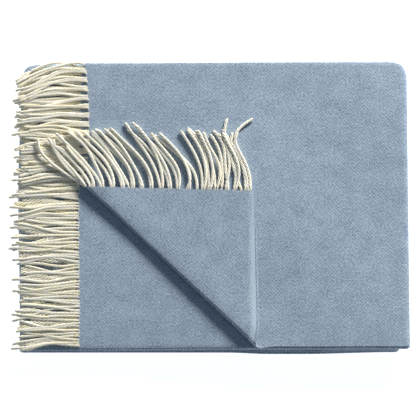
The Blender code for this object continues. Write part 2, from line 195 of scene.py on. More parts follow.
def across(width, face):
    """The fold in thirds: from a place across the cloth to Y and the height within one section."""
    if width <= TOP_END:
        return width, 2 * PITCH + face
    if width < MIDDLE_START:
        angle = math.pi * (width - TOP_END) / CROSS_TURN
        radius = FOLD_GAP + face
        return FAR_CENTRE + radius * math.sin(angle), PITCH + CLOTH + FOLD_GAP + radius * math.cos(angle)
    if width <= MIDDLE_END:
        return FAR_CENTRE - (width - MIDDLE_START), PITCH + CLOTH - face
    if width < BOTTOM_START:
        angle = math.pi * (width - MIDDLE_END) / CROSS_TURN
        radius = FOLD_GAP + CLOTH - face
        return NEAR_CENTRE - radius * math.sin(angle), CLOTH + FOLD_GAP + radius * math.cos(angle)
    return NEAR_CENTRE + width - BOTTOM_START, face


def step_up(x):
    """How far the upper half has risen onto the tucked-in short end."""
    return STACK * smooth((x - STEP_LEFT) / (STEP_RIGHT - STEP_LEFT))


def along(length, height):
    """The folds along the length: from a place along the cloth to X and Z."""
    if length <= FIRST_END:
        return length, 2 * STACK + step_up(length) + height
    if length < SECOND_START:
        angle = math.pi * (length - FIRST_END) / LONG_TURN
        radius = FOLD_GAP + height
        return RIGHT_CENTRE + radius * math.sin(angle), 3 * STACK - FOLD_GAP + radius * math.cos(angle)
    if length <= SECOND_END:
        x = RIGHT_CENTRE - (length - SECOND_START)
        return x, 2 * STACK - LAYER_GAP + step_up(x) - height
    radius = STACK - FOLD_GAP - height
    if length < THIRD_START:
        angle = math.pi * (length - SECOND_END) / LONG_TURN
        return LEFT_CENTRE - radius * math.sin(angle), STACK - FOLD_GAP + radius * math.cos(angle)
    if length <= THIRD_END:
        return LEFT_CENTRE + length - THIRD_START, height
    if length < FOURTH_START:
        angle = math.pi * (length - THIRD_END) / LONG_TURN
        return LOWER_CENTRE + radius * math.sin(angle), STACK - FOLD_GAP - radius * math.cos(angle)
    return LOWER_CENTRE - (length - FOURTH_START), 2 * STACK - LAYER_GAP - height


def lift(out_by, share):
    """How far the top layer stands off the one under it beside the turned corner's fold."""
    nearness = max(0.0, 1 - abs(out_by) / LIFT_REACH)
    return LIFT * smooth(share) * nearness * nearness


def left_raise(share, angle, beyond):
    """How much taller the fold stands at its left end, where the turned corner slopes down from it."""
    fading = (1 - smooth(share / RAISE_RUN)) * (1 - smooth(beyond / RAISE_REACH))
    return RAISE * fading * (1 - math.cos(angle)) / 2


def turn_corner(x, y, face):
    """Turns the top layer back over its diagonal fold: to X, Y and the height over its underside."""
    point = Vector((x, y)) - TURN_LEFT
    place = point.dot(TURN_AHEAD)
    share = place / TURN_RUN.length
    out_by = point.dot(TURN_OUT)
    radius = ROLL_LEFT + (ROLL_RIGHT - ROLL_LEFT) * share
    past = out_by + radius
    height = face
    if past > 0:
        angle = min(past / radius, math.pi)
        beyond = max(0.0, past - math.pi * radius)
        out_by = -radius + (radius - face) * math.sin(angle) - beyond
        sink = (2 * radius + BULGE - REST) * smooth(beyond / SETTLE)
        rounding = 1 - min(1.0, max(0.0, past - math.pi * radius / 2) / BULGE_REACH)
        height = radius - (radius - face) * math.cos(angle) + BULGE * (1 - rounding * rounding) - sink
        height += left_raise(share, angle, beyond)
    plan = TURN_LEFT + TURN_AHEAD * place + TURN_OUT * out_by
    return plan.x, plan.y, height + lift(out_by, share)


def round_corner(x, y, side):
    """Rounds one far corner, the right one with side 1 and the left one with side -1."""
    reach_x = (side * x - (RIGHT_FOLD - CORNER_RADIUS)) / CORNER_RADIUS
    reach_y = (y - (FAR_FOLD - CORNER_RADIUS)) / CORNER_RADIUS
    if reach_x <= 0 or reach_y <= 0:
        return x, y
    pull_x = math.sqrt(1 - CORNER_STRENGTH * min(1.0, reach_y) ** 2 / 2)
    pull_y = math.sqrt(1 - CORNER_STRENGTH * min(1.0, reach_x) ** 2 / 2)
    x_in = RIGHT_FOLD - CORNER_RADIUS + CORNER_RADIUS * reach_x * pull_x
    y_in = FAR_FOLD - CORNER_RADIUS + CORNER_RADIUS * reach_y * pull_y
    return side * x_in, y_in


def crease_rise(x, y):
    """How far the creases raise or sink the top of the stack at a place."""
    total = 0.0
    for start_x, start_y, end_x, end_y, rise, half_width in CREASES:
        run_x, run_y = end_x - start_x, end_y - start_y
        share = ((x - start_x) * run_x + (y - start_y) * run_y) / (run_x * run_x + run_y * run_y)
        share = min(1.0, max(0.0, share))
        apart = math.hypot(x - start_x - run_x * share, y - start_y - run_y * share)
        total += rise * math.exp(-((apart / half_width) ** 2))
    return total


def near_lean(x):
    """How far the lowest layer's near edge leans out past the top's: most in the middle of the right."""
    toward_right = smooth((x - 0.02) / 0.06)
    toward_end = smooth((x - 0.13) / 0.14)
    return NEAR_LEAN + NEAR_LEAN_RIGHT * toward_right - NEAR_LEAN_END * toward_end


def settle(x, y, z):
    """The unevenness of the whole stack, the same for all layers, so none meets another."""
    x, y = round_corner(x, y, 1)
    x, y = round_corner(x, y, -1)
    left_share = smooth((-0.10 - x) / 0.18)
    right_share = smooth((x - 0.10) / 0.18)
    near_share = smooth((0.05 - y) / 0.20)
    broad = math.sin(15.5 * x + 1.0) * math.cos(16.0 * y + 0.4)
    diagonal = math.sin(19.0 * (x + y))
    x_out = x - LEFT_BOW * left_share * math.exp(-(((y - LEFT_BOW_CENTRE) / LEFT_BOW_REACH) ** 2))
    x_out -= RIGHT_SLANT * right_share * (y - NEAR_EDGE) / (FAR_FOLD - NEAR_EDGE)
    y_out = y - near_lean(x) * near_share * (1 - z / HEIGHT)
    rise = SWELL_BROAD * broad + SWELL_DIAGONAL * diagonal + crease_rise(x, y) / HEIGHT
    return Vector((x_out, y_out, z * (1 + rise)))


def place_on_throw(length, width, face):
    """From a place on the flat cloth to where the folded cloth has it."""
    y, height = across(width, face)
    if length < FIRST_END and width < TOP_END:
        length, y, top_height = turn_corner(length, y, face)
        height = 2 * PITCH + top_height
    x, z = along(length, height)
    return settle(x, y, z)


def true_length(length, width):
    """How far along the weave a place is, measured round the folds, for the twill to follow."""
    height = across(width, CLOTH / 2)[1]
    upper_turn = math.pi * (FOLD_GAP + height)
    lower_turn = math.pi * (STACK - FOLD_GAP - height)
    turns = ((FIRST_END, upper_turn), (SECOND_END, lower_turn), (THIRD_END, lower_turn))
    measured = length
    for start, turn in turns:
        measured += (turn - LONG_TURN) * min(1.0, max(0.0, (length - start) / LONG_TURN))
    return measured


def selvage_distance(length, width):
    """How far a place is from the nearer woven edge of the cloth."""
    near_edge = pulled(length, NEAR_EDGE) if length < FIRST_END else NEAR_EDGE
    return min(width - near_edge, BOTTOM_END - width)


def outer_turn(length, width):
    """How near a place is to the crest of the right or the far fold: 1 at the crest, 0 off the turn."""
    right_turn = min(1.0, max(0.0, (length - FIRST_END) / LONG_TURN))
    far_turn = min(1.0, max(0.0, (width - TOP_END) / CROSS_TURN))
    return max(math.sin(math.pi * right_turn), math.sin(math.pi * far_turn))


def spaced(start, end, step):
    """Even places from the start up to, but not with, the end."""
    count = max(1, round(abs(end - start) / step))
    return [start + (end - start) * index / count for index in range(count)]


# Mesh lines: fine where the cloth shows, coarser where it is folded away
FINE = 0.0055
COARSE = 0.014
HIDDEN = 0.030
CROSS_STEP = CROSS_TURN / 6
LONG_STEP = LONG_TURN / 10
ROLL_STEPS = 10
FIRST_LINE = -0.1740

lengths = spaced(FIRST_LINE, FIRST_END, FINE) + spaced(FIRST_END, SECOND_START, LONG_STEP)
lengths += spaced(SECOND_START, SECOND_END, COARSE) + spaced(SECOND_END, THIRD_START, LONG_STEP)
lengths += spaced(THIRD_START, THIRD_END, COARSE) + spaced(THIRD_END, FOURTH_START, LONG_STEP)
lengths += spaced(FOURTH_START, FOURTH_END, HIDDEN) + [FOURTH_END]
lengths[0] = LEFT_FOLD
widths = spaced(NEAR_EDGE, TOP_END, FINE) + spaced(TOP_END, MIDDLE_START, CROSS_STEP)
widths += spaced(MIDDLE_START, MIDDLE_END, FINE) + spaced(MIDDLE_END, BOTTOM_START, CROSS_STEP)
widths += spaced(BOTTOM_START, BOTTOM_END, COARSE) + [BOTTOM_END]

# The flat cloth as a grid, its first line moved to the fringed edge
flat = bmesh.new()
bmesh.ops.create_grid(flat, x_segments=len(lengths) - 1, y_segments=len(widths) - 1, size=0.5)
for vertex in flat.verts:
    column = round((vertex.co.x + 0.5) * (len(lengths) - 1))
    row = round((vertex.co.y + 0.5) * (len(widths) - 1))
    length = lengths[column]
    width = widths[row]
    if length <= FIRST_END and width < TOP_END:
        width = pulled(length, width)
    if column == 0:
        length = edge_at(width)
    vertex.co = (length, width, 0)

# The lines along which the corner bends, cut into the top layer alone
for step in range(ROLL_STEPS + 1):
    bend = math.pi * step / ROLL_STEPS - 1
    start = TURN_LEFT + TURN_OUT * ROLL_LEFT * bend
    end = TURN_RIGHT + TURN_OUT * ROLL_RIGHT * bend
    line = end - start
    parts = set()
    for face in flat.faces:
        centre = face.calc_center_median()
        if centre.x < FIRST_END and centre.y < TOP_END:
            parts.add(face)
            parts.update(face.edges)
            parts.update(face.verts)
    bmesh.ops.bisect_plane(
        flat, geom=list(parts), dist=0.00002, plane_co=(start.x, start.y, 0),
        plane_no=Vector((line.y, -line.x, 0)).normalized()
    )
bmesh.ops.triangulate(flat, faces=[face for face in flat.faces if len(face.verts) > 4])

# The cloth gets its thickness, is measured for its weave, and is folded
extruded = bmesh.ops.extrude_face_region(flat, geom=flat.faces[:], use_keep_orig=True)
upper = [part for part in extruded["geom"] if isinstance(part, bmesh.types.BMVert)]
bmesh.ops.translate(flat, verts=upper, vec=(0, 0, CLOTH))
bmesh.ops.recalc_face_normals(flat, faces=flat.faces[:])
weave_map = flat.loops.layers.uv.new("weave")
selvage = flat.verts.layers.float.new("selvage")
# The share of painted shade on the crests of the right and far folds, for the twill's colour
fold_painted_shade = flat.verts.layers.float.new("fold_painted_shade")
for face in flat.faces:
    for loop in face.loops:
        place = loop.vert.co
        loop[weave_map].uv = (true_length(place.x, place.y), place.y)
for vertex in flat.verts:
    length, width, thickness = vertex.co
    vertex[selvage] = selvage_distance(length, width)
    vertex[fold_painted_shade] = outer_turn(length, width)
    vertex.co = place_on_throw(length, width, thickness)
cloth_mesh = bpy.data.meshes.new("wool_throw_cloth")
flat.to_mesh(cloth_mesh)
flat.free()
cloth_mesh.shade_smooth()
cloth_mesh.set_sharp_from_angle(angle=math.radians(60))
cloth = bpy.data.objects.new("wool_throw_cloth", cloth_mesh)
bpy.context.scene.collection.objects.link(cloth)


def linear(colour):
    """An sRGB hex colour as the linear values a shader takes."""
    parts = [int(colour[index:index + 2], 16) / 255 for index in (1, 3, 5)]
    return [part / 12.92 if part <= 0.04045 else ((part + 0.055) / 1.055) ** 2.4 for part in parts] + [1.0]


def add_node(tree, kind, inputs=None, **settings):
    """Adds a node with its settings. An input takes a value, a socket, or a node's first output."""
    node = tree.nodes.new(kind)
    for name, value in settings.items():
        setattr(node, name, value)
    for key, value in (inputs or {}).items():
        if isinstance(value, bpy.types.Node):
            value = value.outputs[0]
        if isinstance(value, bpy.types.NodeSocket):
            tree.links.new(value, node.inputs[key])
        else:
            node.inputs[key].default_value = value
    return node


# Brushed wool twill: matt, with light warp floats over darker weft in two crossing diagonals, which
# the brushing blurs in patches, and a fine mottle of pale and dark fibres. The selvage has a pale
# woven line, partly painted highlight, with a thin painted shadow line, and the crests of the folds
# carry painted shade. The real thread spacing, about 0.7 mm, is too fine for the render, so the twill
# is drawn about twice as coarse.
THREAD = 0.00132
WEFT = "#64798f"
WARP = "#b9c8d6"
DIAGONAL_STRENGTH = 0.11
MOTTLE_STRENGTH = 2.3
CROSS_SHARE = 0.7
# How far the painted shade darkens the crests of the right and far folds
FOLD_PAINTED_SHADE = 0.32
DIAGONAL_RELIEF = 0.12

# The grains of the brushed surface: scale per metre, detail, roughness, strength and mean. The
# threads drift over about 4 mm, the brushing's patches are about 5 mm wide, the mottle of fibres
# about 3 mm, coarser than real fibres so that it shows, and the clouds of tone about 26 mm.
GRAINS = {
    "drift": (240.0, 2.0, 0.6, 3.0, 0.0),
    "patches": (190.0, 3.0, 0.6, 7.0, 0.8),
    "mottle": (330.0, 4.0, 0.75, 1.0, 0.0),
    "clouds": (38.0, 3.0, 0.6, 0.55, 0.5),
}

# The selvage's tones, from the edge inwards: distance in metres and tone, 0.5 the cloth's own. The
# pale bands are the selvage's own paler threads and partly painted highlight; the dip at 4.4 mm is a
# thin painted shadow line. The line grows clear along the cloth over the first run, from its faint
# share, and ends over the second.
LINE_START = (-0.150, -0.090)
LINE_END = (0.030, 0.065)
LINE_FAINT = 0.35
SELVAGE_WIDTH = 0.016
SELVAGE_STRENGTH = 2.0
SELVAGE_AND_PAINTED_LIGHT_TONES = (
    (0.0000, 0.50),
    (0.0012, 0.56),
    (0.0022, 0.70),
    (0.0032, 0.52),
    (0.0044, 0.34),
    (0.0056, 0.98),
    (0.0085, 0.88),
    (0.0135, 0.58),
    (SELVAGE_WIDTH, 0.50),
)

twill = bpy.data.materials.new("brushed_wool_twill")
twill.use_nodes = True
cloth_tree = twill.node_tree
shader = cloth_tree.nodes["Principled BSDF"]
weave = add_node(cloth_tree, "ShaderNodeUVMap", uv_map="weave")
split = add_node(cloth_tree, "ShaderNodeSeparateXYZ", {"Vector": weave})
grain = {}
for name, (scale, detail, roughness, strength, mean) in GRAINS.items():
    noise = add_node(
        cloth_tree, "ShaderNodeTexNoise",
        {"Vector": weave, "Scale": scale, "Detail": detail, "Roughness": roughness}
    )
    grain[name] = add_node(
        cloth_tree, "ShaderNodeMath", {0: noise, 1: strength, 2: mean - strength / 2},
        operation="MULTIPLY_ADD"
    )

# The two diagonals of floats, four threads from line to line, the second one fainter
waves = []
for way in ("ADD", "SUBTRACT"):
    place = add_node(
        cloth_tree, "ShaderNodeMath", {0: split.outputs["X"], 1: split.outputs["Y"]}, operation=way
    )
    threads = add_node(cloth_tree, "ShaderNodeMath", {0: place, 1: THREAD}, operation="DIVIDE")
    threads = add_node(cloth_tree, "ShaderNodeMath", {0: threads, 1: grain["drift"]}, operation="ADD")
    turn = add_node(cloth_tree, "ShaderNodeMath", {0: threads, 1: 2 * math.pi / 4}, operation="MULTIPLY")
    waves.append(add_node(cloth_tree, "ShaderNodeMath", {0: turn}, operation="SINE"))
floats = add_node(
    cloth_tree, "ShaderNodeMath", {0: waves[1], 1: CROSS_SHARE, 2: waves[0]}, operation="MULTIPLY_ADD"
)
floats = add_node(cloth_tree, "ShaderNodeMath", {0: floats, 1: grain["patches"]}, operation="MULTIPLY")
tone = add_node(
    cloth_tree, "ShaderNodeMath", {0: floats, 1: DIAGONAL_STRENGTH, 2: grain["clouds"]},
    operation="MULTIPLY_ADD"
)
tone = add_node(
    cloth_tree, "ShaderNodeMath", {0: grain["mottle"], 1: MOTTLE_STRENGTH, 2: tone}, operation="MULTIPLY_ADD"
)

# The selvage's pale line, partly painted highlight, with a thin painted shadow line in it, clear on the turned
# corner and gone beyond its right end
edge_place = add_node(cloth_tree, "ShaderNodeAttribute", attribute_name="selvage").outputs["Fac"]
edge_share = add_node(cloth_tree, "ShaderNodeMath", {0: edge_place, 1: SELVAGE_WIDTH}, operation="DIVIDE")
selvage_and_painted_light = add_node(cloth_tree, "ShaderNodeValToRGB", {"Fac": edge_share})
stops = selvage_and_painted_light.color_ramp.elements
stops[0].color = (SELVAGE_AND_PAINTED_LIGHT_TONES[0][1],) * 3 + (1.0,)
stops[1].color = (SELVAGE_AND_PAINTED_LIGHT_TONES[-1][1],) * 3 + (1.0,)
for distance, edge_tone in SELVAGE_AND_PAINTED_LIGHT_TONES[1:-1]:
    stops.new(distance / SELVAGE_WIDTH).color = (edge_tone,) * 3 + (1.0,)
line_start = add_node(
    cloth_tree, "ShaderNodeMapRange",
    {"Value": split.outputs["X"], "From Min": LINE_START[0], "From Max": LINE_START[1], "To Min": LINE_FAINT}
)
line_end = add_node(
    cloth_tree, "ShaderNodeMapRange",
    {"Value": split.outputs["X"], "From Min": LINE_END[0], "From Max": LINE_END[1], "To Min": 1, "To Max": 0}
)
clearness = add_node(cloth_tree, "ShaderNodeMath", {0: line_start, 1: line_end}, operation="MULTIPLY")
edge_change = add_node(
    cloth_tree, "ShaderNodeMath", {0: selvage_and_painted_light, 1: SELVAGE_STRENGTH, 2: -SELVAGE_STRENGTH / 2},
    operation="MULTIPLY_ADD"
)
tone = add_node(
    cloth_tree, "ShaderNodeMath", {0: edge_change, 1: clearness, 2: tone}, operation="MULTIPLY_ADD"
)

# The painted shade on the crests of the right and far folds, then the tone from weft to warp, and the low
# relief of floats and fibres
crest = add_node(cloth_tree, "ShaderNodeAttribute", attribute_name="fold_painted_shade").outputs["Fac"]
tone = add_node(cloth_tree, "ShaderNodeMath", {0: crest, 1: -FOLD_PAINTED_SHADE, 2: tone}, operation="MULTIPLY_ADD")
colour = add_node(
    cloth_tree, "ShaderNodeMix", {0: tone, 6: linear(WEFT), 7: linear(WARP)}, data_type="RGBA"
)
relief = add_node(
    cloth_tree, "ShaderNodeMath", {0: floats, 1: DIAGONAL_RELIEF, 2: grain["mottle"]}, operation="MULTIPLY_ADD"
)
bump = add_node(cloth_tree, "ShaderNodeBump", {"Height": relief, "Strength": 0.5, "Distance": 0.0005})
cloth_tree.links.new(colour.outputs[2], shader.inputs["Base Color"])
cloth_tree.links.new(bump.outputs["Normal"], shader.inputs["Normal"])
shader.inputs["Roughness"].default_value = 0.92
shader.inputs["Specular IOR Level"].default_value = 0.25
shader.inputs["Sheen Weight"].default_value = 0.25
shader.inputs["Sheen Roughness"].default_value = 0.55
cloth_mesh.materials.append(twill)

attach(cloth, "root")
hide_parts("throw_cloth")

# The fringe: the cloth's own cream warp ends, gathered in groups at the edge and twisted into
# three-ply strands about 10 cm long, which lie over each other and a little past the left fold.
# Each stretch of it replaces its own solid, and follows the edge of the layer it grows from.
PLIES = 3
PLY_RADIUS = 0.00132
PLY_REACH = 0.00104
PLY_FLATNESS = 0.38
TWIST = 0.019
GATHER = 0.008
FAN = 0.0011
ROOT_TAPER = 0.0045
ROOT_SHARE = 0.42
TIP_TAPER = 0.03
TIP_SHARE = 0.55
TUBE_SIDES = 5

# Twisted wool yarn: warm cream and matt, with fibre streaks and light scattered just under its
# surface. The darker cream is the fibres' own darker tone, and also painted shade on the strands that
# lie close together. The fibres, about 0.03 mm thick, are too fine for the render, so they are drawn
# as streaks of about 1 mm (a scale of 900 per metre), over a mottle of about 11 mm.
YARN_LIGHT = "#fdf9ea"
YARN_DARK = "#fbf0c6"
SHEEN_CREAM = "#fff4dc"
FIBRE_SCALE = 900.0
YARN_MOTTLE_SCALE = 90.0
DARK_FROM = 1.05
DARK_TO = 1.9
cream_yarn = bpy.data.materials.new("twisted_wool_yarn")
cream_yarn.use_nodes = True
yarn_tree = cream_yarn.node_tree
shader = yarn_tree.nodes["Principled BSDF"]
place = add_node(yarn_tree, "ShaderNodeTexCoord").outputs["Object"]
fibre = add_node(yarn_tree, "ShaderNodeTexNoise", {"Vector": place, "Scale": FIBRE_SCALE, "Detail": 3.0})
mottle = add_node(
    yarn_tree, "ShaderNodeTexNoise", {"Vector": place, "Scale": YARN_MOTTLE_SCALE, "Detail": 2.0}
)
strand_tone = add_node(yarn_tree, "ShaderNodeAttribute", attribute_name="tone").outputs["Fac"]
blend = add_node(yarn_tree, "ShaderNodeMath", {0: fibre, 1: mottle}, operation="ADD")
blend = add_node(yarn_tree, "ShaderNodeMath", {0: blend, 1: strand_tone}, operation="ADD")
darkness = add_node(
    yarn_tree, "ShaderNodeMapRange", {"Value": blend, "From Min": DARK_FROM, "From Max": DARK_TO}
)
colour = add_node(
    yarn_tree, "ShaderNodeMix", {0: darkness, 6: linear(YARN_LIGHT), 7: linear(YARN_DARK)}, data_type="RGBA"
)
bump = add_node(yarn_tree, "ShaderNodeBump", {"Height": fibre, "Strength": 0.25, "Distance": 0.0002})
yarn_tree.links.new(colour.outputs[2], shader.inputs["Base Color"])
yarn_tree.links.new(bump.outputs["Normal"], shader.inputs["Normal"])
shader.inputs["Roughness"].default_value = 0.9
shader.inputs["Diffuse Roughness"].default_value = 1.0
shader.inputs["Specular IOR Level"].default_value = 0.25
shader.inputs["Subsurface Weight"].default_value = 0.45
shader.inputs["Subsurface Radius"].default_value = (1.0, 0.9, 0.65)
shader.inputs["Subsurface Scale"].default_value = 0.0012
shader.inputs["Sheen Weight"].default_value = 1.0
shader.inputs["Sheen Roughness"].default_value = 0.8
shader.inputs["Sheen Tint"].default_value = linear(SHEEN_CREAM)

# The tree that turns guide lines into strands of twisted plies, fanned out where they leave the cloth
twist_tree = bpy.data.node_groups.new("twisted_strands", "GeometryNodeTree")
twist_tree.interface.new_socket(name="Geometry", in_out="INPUT", socket_type="NodeSocketGeometry")
for name, kind, value in (
    ("Plies", "NodeSocketInt", PLIES),
    ("Ply radius", "NodeSocketFloat", PLY_RADIUS),
    ("Ply reach", "NodeSocketFloat", PLY_REACH),
    ("Flatness", "NodeSocketFloat", PLY_FLATNESS),
    ("Twist length", "NodeSocketFloat", TWIST),
    ("Gather length", "NodeSocketFloat", GATHER),
    ("Fan", "NodeSocketFloat", FAN),
    ("Root taper", "NodeSocketFloat", ROOT_TAPER),
    ("Root share", "NodeSocketFloat", ROOT_SHARE),
    ("Tip taper", "NodeSocketFloat", TIP_TAPER),
    ("Tip share", "NodeSocketFloat", TIP_SHARE),
    ("Tube sides", "NodeSocketInt", TUBE_SIDES),
):
    twist_tree.interface.new_socket(name=name, in_out="INPUT", socket_type=kind).default_value = value
twist_tree.interface.new_socket(name="Geometry", in_out="OUTPUT", socket_type="NodeSocketGeometry")
given = twist_tree.nodes.new("NodeGroupInput").outputs
result = twist_tree.nodes.new("NodeGroupOutput")
curves = add_node(twist_tree, "GeometryNodeMeshToCurve", {"Mesh": given["Geometry"]})
plies = add_node(
    twist_tree, "GeometryNodeDuplicateElements", {"Geometry": curves, "Amount": given["Plies"]},
    domain="SPLINE"
)
number = plies.outputs["Duplicate Index"]
measure = add_node(twist_tree, "GeometryNodeSplineParameter")
gone = measure.outputs["Length"]
phase = add_node(twist_tree, "GeometryNodeInputNamedAttribute", {"Name": "phase"}, data_type="FLOAT")

# Each ply's turn round the strand, from its number, the length gone and the strand's own phase
ply_turn = add_node(twist_tree, "ShaderNodeMath", {0: number, 1: given["Plies"]}, operation="DIVIDE")
turn = add_node(twist_tree, "ShaderNodeMath", {0: gone, 1: given["Twist length"]}, operation="DIVIDE")
turn = add_node(twist_tree, "ShaderNodeMath", {0: ply_turn, 1: turn}, operation="ADD")
angle = add_node(twist_tree, "ShaderNodeMath", {0: turn, 1: 2 * math.pi, 2: phase}, operation="MULTIPLY_ADD")
across_ply = add_node(twist_tree, "ShaderNodeMath", {0: angle}, operation="COSINE")
over_ply = add_node(twist_tree, "ShaderNodeMath", {0: angle}, operation="SINE")

# Fanned out at the root, the plies come together over the gather length
gathered = add_node(
    twist_tree, "ShaderNodeMapRange", {"Value": gone, "From Max": given["Gather length"]},
    interpolation_type="SMOOTHSTEP"
)
loose = add_node(twist_tree, "ShaderNodeMath", {0: 1.0, 1: gathered}, operation="SUBTRACT")
reach = add_node(twist_tree, "ShaderNodeMath", {0: given["Ply reach"], 1: gathered}, operation="MULTIPLY")
fan = add_node(twist_tree, "ShaderNodeMath", {0: number, 1: 1.0}, operation="SUBTRACT")
fan = add_node(twist_tree, "ShaderNodeMath", {0: fan, 1: given["Fan"]}, operation="MULTIPLY")
fan = add_node(twist_tree, "ShaderNodeMath", {0: fan, 1: loose}, operation="MULTIPLY")
sideways = add_node(twist_tree, "ShaderNodeMath", {0: across_ply, 1: reach, 2: fan}, operation="MULTIPLY_ADD")
upward = add_node(twist_tree, "ShaderNodeMath", {0: over_ply, 1: reach}, operation="MULTIPLY")
upward = add_node(twist_tree, "ShaderNodeMath", {0: upward, 1: given["Flatness"]}, operation="MULTIPLY")
tangent = add_node(twist_tree, "GeometryNodeInputTangent")
side = add_node(twist_tree, "ShaderNodeVectorMath", {0: tangent, 1: (0, 0, 1)}, operation="CROSS_PRODUCT")
side = add_node(twist_tree, "ShaderNodeVectorMath", {0: side}, operation="NORMALIZE")
side_step = add_node(twist_tree, "ShaderNodeVectorMath", {0: side, "Scale": sideways}, operation="SCALE")
up_step = add_node(twist_tree, "ShaderNodeCombineXYZ", {"Z": upward})
offset = add_node(twist_tree, "ShaderNodeVectorMath", {0: side_step, 1: up_step}, operation="ADD")
moved = add_node(twist_tree, "GeometryNodeSetPosition", {"Geometry": plies, "Offset": offset})

# The plies are thinner at both ends: at the root over a length, at the tip over a share of it
left = add_node(twist_tree, "ShaderNodeMath", {0: 1.0, 1: measure}, operation="SUBTRACT")
tip = add_node(
    twist_tree, "ShaderNodeMapRange",
    {"Value": left, "From Max": given["Tip taper"], "To Min": given["Tip share"]}
)
root = add_node(
    twist_tree, "ShaderNodeMapRange",
    {"Value": gone, "From Max": given["Root taper"], "To Min": given["Root share"]}
)
taper = add_node(twist_tree, "ShaderNodeMath", {0: tip, 1: root}, operation="MULTIPLY")
ply_size = add_node(twist_tree, "ShaderNodeMath", {0: given["Ply radius"], 1: taper}, operation="MULTIPLY")
sized = add_node(twist_tree, "GeometryNodeSetCurveRadius", {"Curve": moved, "Radius": ply_size})
ring = add_node(
    twist_tree, "GeometryNodeCurvePrimitiveCircle", {"Resolution": given["Tube sides"], "Radius": 1.0},
    mode="RADIUS"
)
size_now = add_node(twist_tree, "GeometryNodeInputRadius")
tube = add_node(
    twist_tree, "GeometryNodeCurveToMesh",
    {"Curve": sized, "Profile Curve": ring, "Scale": size_now, "Fill Caps": True}
)
soft = add_node(twist_tree, "GeometryNodeSetShadeSmooth", {"Geometry": tube})
real = add_node(twist_tree, "GeometryNodeRealizeInstances", {"Geometry": soft})
worn = add_node(twist_tree, "GeometryNodeSetMaterial", {"Geometry": real, "Material": cream_yarn})
twist_tree.links.new(worn.outputs[0], result.inputs[0])


def twist_strands(
    name, node, guides, luck_seed, plies=PLIES, ply_radius=PLY_RADIUS, ply_reach=PLY_REACH, close_shade=0.0
):
    """Builds one stretch of fringe from its guide lines and puts it in place of its solid."""
    luck = random.Random(luck_seed)
    points = []
    edges = []
    phases = []
    tones = []
    for guide in guides:
        start = len(points)
        points += guide
        edges += [(start + index, start + index + 1) for index in range(len(guide) - 1)]
        phases += [luck.uniform(0, 2 * math.pi)] * len(guide)
        # Each strand's random tone, plus the painted shade that darkens close strands
        tones += [close_shade + luck.uniform(-0.22, 0.22)] * len(guide)
    mesh = bpy.data.meshes.new(name + "_guides")
    mesh.from_pydata(points, edges, [])
    mesh.attributes.new("phase", "FLOAT", "POINT").data.foreach_set("value", phases)
    mesh.attributes.new("tone", "FLOAT", "POINT").data.foreach_set("value", tones)
    maker = bpy.data.objects.new(name + "_maker", mesh)
    bpy.context.scene.collection.objects.link(maker)
    modifier = maker.modifiers.new("twist", "NODES")
    modifier.node_group = twist_tree
    inputs = {
        item.name: item.identifier for item in twist_tree.interface.items_tree if item.in_out == "INPUT"
    }
    modifier[inputs["Plies"]] = plies
    modifier[inputs["Ply radius"]] = ply_radius
    modifier[inputs["Ply reach"]] = ply_reach
    evaluated = maker.evaluated_get(bpy.context.evaluated_depsgraph_get())
    made = bpy.data.meshes.new_from_object(evaluated)
    bpy.data.objects.remove(maker)
    bpy.data.meshes.remove(mesh)
    made.name = name
    fringe = bpy.data.objects.new(name, made)
    bpy.context.scene.collection.objects.link(fringe)
    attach(fringe, "root")
    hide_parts(node)
    return fringe


# The fringes at the left: how far a strand's root lies inside the cloth's edge and over its middle,
# how strands stray and wave (the turn per metre and the size of each wave), how high the lower
# layers' strands crowd, how much painted shade darkens close strands to a warmer cream, and how
# strands droop past the left fold
STRAND_POINTS = 46
TUFT_INSIDE = 0.0014
TUFT_RISE = 0.0006
STRAY = 0.0080
WAVES = ((32.0, 0.0044), (64.0, 0.0016), (130.0, 0.0005))
BOTTOM_CROWDING = 0.0011
MIDDLE_CROWDING = 0.0013
CLOSE_PAINTED_SHADE = 0.28
DROOP = 9.0

# The groups of three: how close they lie at the root, where they are closest and where they part
GROUP_ROOT = 0.6
GROUP_CLOSEST = 0.008
GROUP_END = 0.016
GROUP_FADE = 0.045

# The farthest strands crown, then sweep to the viewer: the crown's rise, and how far each reaches
CROWN = 0.0045
CROWN_REACH = 0.025
SWEEP_REACH = 0.055

# Where two gaps part the lower layers' strands: Y and half-width
PARTINGS = ((-0.0915, 0.0050), (0.0050, 0.0030))


def left_point(x, y, base, height):
    """A point of a strand that lies to the left, drooping where it passes the left fold."""
    past = max(0.0, LEFT_CENTRE - x)
    return settle(x, y, base + height - DROOP * past * past)


